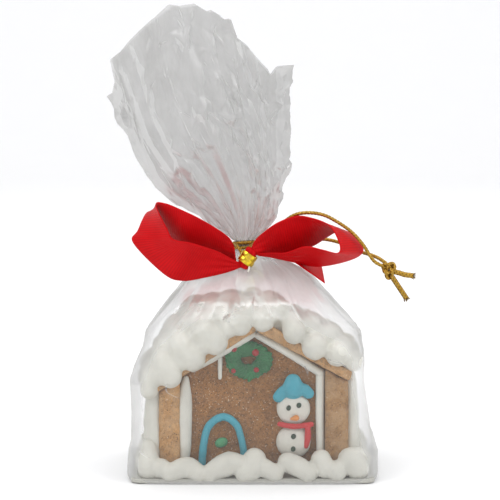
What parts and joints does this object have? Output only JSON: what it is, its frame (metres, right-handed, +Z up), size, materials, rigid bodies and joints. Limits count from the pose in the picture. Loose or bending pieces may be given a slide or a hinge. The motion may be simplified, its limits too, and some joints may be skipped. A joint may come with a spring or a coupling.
{
  "type": "gift-wrapped gingerbread house",
  "caption": "Small gingerbread house on its board in a clear gift bag, gathered and tied with a ribbon bow and a gold hanging cord.",
  "frame": {"origin": "on the ground under the middle of the bag, as seen from above with its fanned top", "axes": "+Z up, +Y from the house's front gable to its back, +X to the right as seen from the front"},
  "size_m": [0.1161, 0.076, 0.1761],
  "materials": {
    "clear_film": "clear crinkled film",
    "ribbon": "ribbed satin",
    "gold_foil": "bright foil",
    "gold_cord": "metallic braid"
  },
  "bodies": {
    "root": {"bag": "clear_film", "ribbon_bow": "ribbon", "tie_band": "gold_foil", "neck_cord": "gold_cord", "cord_strand_upper": "gold_cord", "cord_strand_lower": "gold_cord", "cord_knot": "gold_cord", "cord_end_upper": "gold_cord", "cord_end_lower": "gold_cord"}
  },
  "joints": []
}
